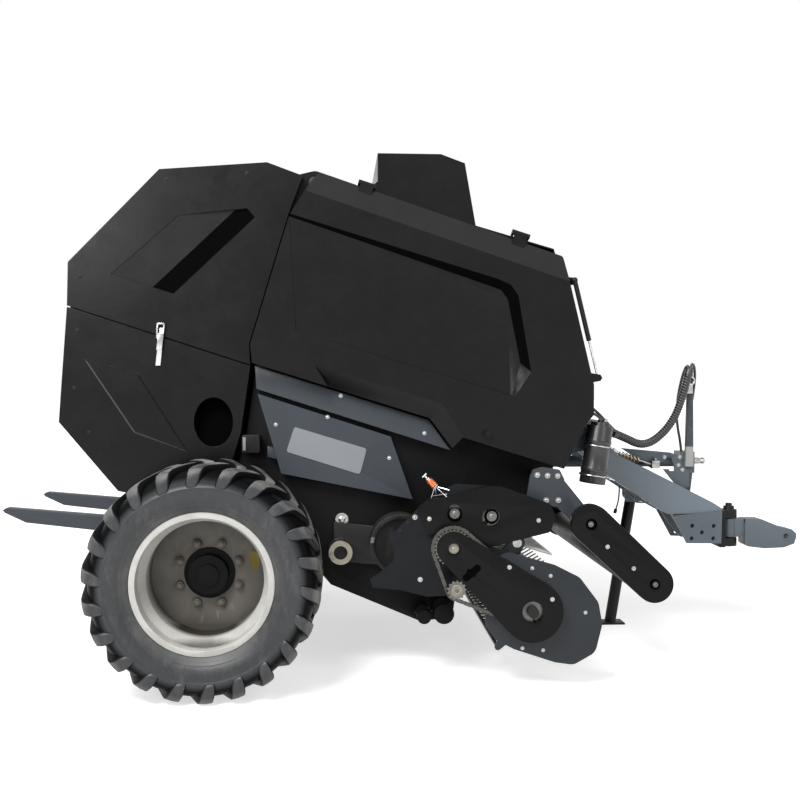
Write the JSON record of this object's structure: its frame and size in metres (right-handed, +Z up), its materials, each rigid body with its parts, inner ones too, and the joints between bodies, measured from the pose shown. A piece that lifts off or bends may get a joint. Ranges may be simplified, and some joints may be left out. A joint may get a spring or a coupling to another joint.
{
  "type": "round baler",
  "caption": "Towed round baler with a hinged tailgate, lifting side doors, tined pickup reel, crop roller, drawbar, drive input, parking jack and two wheels.",
  "frame": {"origin": "on the ground at the middle of the machine's length and width", "axes": "+X forward to the hitch, +Y to the machine's left, +Z up"},
  "size_m": [4.025, 2.5, 2.391],
  "materials": {
    "tyre": "dusty rubber",
    "rim_paint": "worn cream paint",
    "bare_steel": "zinc and bare steel",
    "bright_steel": "bright",
    "black_paint": "satin charcoal paint",
    "frame_paint": "blue-grey paint",
    "light_grey_paint": "lighter blue-grey paint",
    "cast_black": "black cast",
    "hose_rubber": "corrugated sleeve"
  },
  "bodies": {
    "chassis": {"axle": "bare_steel", "fork_hinge_arms": "frame_paint", "frame_sides": "black_paint", "front_hood": "black_paint", "feed_floor": "black_paint", "chamber_rollers": "bare_steel", "top_box": "black_paint", "tailgate_hinge_tube": "bare_steel", "shields_upper": "frame_paint", "shields_lower": "frame_paint", "side_lamps": "black_paint", "drive_case": "black_paint", "cross_tubes": "bare_steel", "pickup_pivots": "bare_steel", "drive_hanger": "black_paint", "crop_hangers": "frame_paint", "drawbar": "light_grey_paint", "swivel_block": "cast_black", "pto_box": "light_grey_paint", "hose_post": "light_grey_paint", "hose_loom": "hose_rubber", "oil_canister": "black_paint"},
    "wheel_right": {"tyre_right": "tyre", "rim_right": "rim_paint", "hub_right": "bare_steel"},
    "wheel_left": {"tyre_left": "tyre", "rim_left": "rim_paint", "hub_left": "bare_steel"},
    "tailgate": {"tailgate_shell": "black_paint", "tailgate_rollers": "bare_steel", "tailgate_covers_upper": "black_paint", "tailgate_covers_lower": "black_paint", "cover_latches": "bare_steel"},
    "door_right": {"side_door_right": "black_paint"},
    "door_left": {"side_door_left": "black_paint"},
    "strut_right": {"door_strut_tube_right": "bright_steel"},
    "strut_left": {"door_strut_tube_left": "bright_steel"},
    "strut_rod_right": {"door_strut_rod_right": "bright_steel"},
    "strut_rod_left": {"door_strut_rod_left": "bright_steel"},
    "pickup": {"pickup_guards": "frame_paint", "pickup_chain_case": "black_paint", "pickup_chain": "bare_steel", "pickup_frame": "frame_paint", "finger_comb": "bare_steel", "reel_bands": "bare_steel"},
    "reel": {"pickup_reel": "bare_steel"},
    "crop_arm": {"crop_arms": "black_paint"},
    "crop_roller": {"crop_roller": "bare_steel"},
    "tongue": {"hitch_tongue": "light_grey_paint"},
    "pto": {"pto_stub": "bare_steel"},
    "jack": {"parking_jack": "black_paint"},
    "bale_fork": {"bale_forks": "frame_paint"}
  },
  "joints": [
    {"name": "wheel_right_spin", "type": "hinge", "parent": "chassis", "child": "wheel_right", "pos_m": [-0.9725, -1, 0.495], "axis": [0, 1, 0], "continuous": true},
    {"name": "wheel_left_spin", "type": "hinge", "parent": "chassis", "child": "wheel_left", "pos_m": [-0.9725, 1, 0.495], "axis": [0, 1, 0], "continuous": true},
    {"name": "tailgate_open", "type": "hinge", "parent": "chassis", "child": "tailgate", "pos_m": [-0.5175, 0, 2.24], "axis": [0, 1, 0], "range_deg": [0, 62]},
    {"name": "door_right_lift", "type": "hinge", "parent": "chassis", "child": "door_right", "pos_m": [-0.4945, -0.725, 2.29], "axis": [-0.9543, 0, 0.299], "range_deg": [0, 70]},
    {"name": "door_left_lift", "type": "hinge", "parent": "chassis", "child": "door_left", "pos_m": [-0.4945, 0.725, 2.29], "axis": [0.9543, 0, -0.299], "range_deg": [0, 70]},
    {"name": "strut_right_turn", "type": "hinge", "parent": "chassis", "child": "strut_right", "pos_m": [0.6675, -0.76, 1.79], "axis": [-0.8975, -0.3834, -0.2178], "range_deg": [0, 75.53]},
    {"name": "strut_left_turn", "type": "hinge", "parent": "chassis", "child": "strut_left", "pos_m": [0.6675, 0.76, 1.79], "axis": [0.8975, -0.3834, 0.2178], "range_deg": [0, 75.53]},
    {"name": "strut_rod_right_slide", "type": "slide", "parent": "strut_right", "child": "strut_rod_right", "axis": [0.2359, 0, -0.9718], "range_m": [0, 0.0681]},
    {"name": "strut_rod_left_slide", "type": "slide", "parent": "strut_left", "child": "strut_rod_left", "axis": [0.2359, 0, -0.9718], "range_m": [0, 0.0681]},
    {"name": "pickup_lower", "type": "hinge", "parent": "chassis", "child": "pickup", "pos_m": [0.0775, 0, 0.62], "axis": [0, 1, 0], "range_deg": [0, 8]},
    {"name": "reel_spin", "type": "hinge", "parent": "pickup", "child": "reel", "pos_m": [0.4165, 0, 0.346], "axis": [0, 1, 0], "continuous": true},
    {"name": "crop_arm_lift", "type": "hinge", "parent": "chassis", "child": "crop_arm", "pos_m": [0.6795, 0, 0.712], "axis": [0, -1, 0], "range_deg": [0, 14]},
    {"name": "crop_roller_spin", "type": "hinge", "parent": "crop_arm", "child": "crop_roller", "pos_m": [0.9585, 0, 0.45], "axis": [0, 1, 0], "continuous": true},
    {"name": "tongue_swing", "type": "hinge", "parent": "chassis", "child": "tongue", "pos_m": [1.6645, 0, 0.55], "axis": [0, 0, 1], "range_deg": [-30, 30]},
    {"name": "pto_spin", "type": "hinge", "parent": "chassis", "child": "pto", "pos_m": [1.4675, 0, 0.905], "axis": [1, 0, 0], "continuous": true},
    {"name": "jack_fold", "type": "hinge", "parent": "chassis", "child": "jack", "pos_m": [1.1945, 0.207, 0.713], "axis": [0, -1, 0], "range_deg": [0, 95]},
    {"name": "bale_fork_tip", "type": "hinge", "parent": "chassis", "child": "bale_fork", "pos_m": [-1.1625, 0, 0.612], "axis": [0, -1, 0], "range_deg": [0, 20]}
  ],
  "couplings": [
    {"joint": "strut_right_turn", "follows": "door_right_lift", "ratio": 1.0718},
    {"joint": "strut_left_turn", "follows": "door_left_lift", "ratio": 1.0718},
    {"joint": "strut_rod_right_slide", "follows": "door_right_lift", "m_per_rad": 0.054117},
    {"joint": "strut_rod_left_slide", "follows": "door_left_lift", "m_per_rad": 0.054117}
  ]
}
